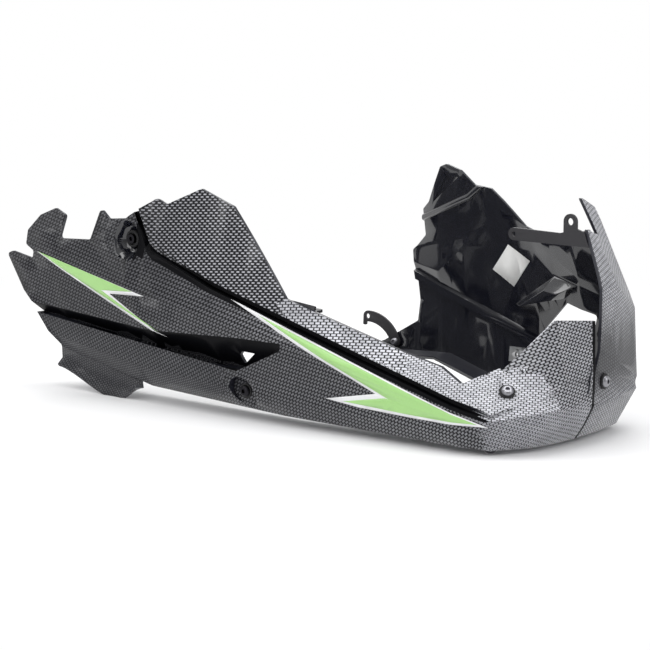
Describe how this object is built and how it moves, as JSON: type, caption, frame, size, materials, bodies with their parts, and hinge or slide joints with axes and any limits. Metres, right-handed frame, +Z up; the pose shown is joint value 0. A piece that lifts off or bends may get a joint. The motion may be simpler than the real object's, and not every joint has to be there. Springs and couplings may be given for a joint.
{
  "type": "motorcycle belly pan",
  "caption": "Two-piece motorcycle belly pan: a long faceted side half with a recessed vent and a tall nose half, joined at the nose, with steel brackets and screws.",
  "frame": {"origin": "on the floor under the middle of the pan's bounding box", "axes": "+X to the nose, +Y to the left half, +Z up"},
  "size_m": [0.6302, 0.2316, 0.2288],
  "materials": {
    "printed_abs": "gloss ABS with a printed weave outside",
    "black_steel": "satin black powder coat",
    "black_rubber": "matt",
    "zinc_steel": "zinc plated",
    "bright_steel": "stainless, machined",
    "black_screw": "black oxide"
  },
  "bodies": {
    "root": {"front_bracket": "black_steel", "front_clip": "zinc_steel", "front_foot_nut": "zinc_steel", "front_foot_screw": "bright_steel", "front_foot_washer": "black_rubber", "left_foot_nut": "zinc_steel", "left_foot_screw": "bright_steel", "left_foot_washer": "black_rubber", "left_panel": "printed_abs", "left_rear_bracket": "black_steel", "nose_nut": "zinc_steel", "nose_screw": "bright_steel", "nose_washer": "black_rubber", "rear_clip": "zinc_steel", "right_foot_nut": "zinc_steel", "right_foot_screw": "bright_steel", "right_foot_washer": "black_rubber", "right_panel": "printed_abs", "right_rear_bracket": "black_steel", "seam_nut": "zinc_steel", "seam_screw": "bright_steel", "seam_washer": "black_rubber", "side_nut": "zinc_steel", "side_screw": "bright_steel", "side_washer": "black_rubber", "strap_nut": "zinc_steel", "strap_screw": "bright_steel", "tail_bolt": "black_screw", "tail_grommet": "black_rubber"}
  },
  "joints": []
}
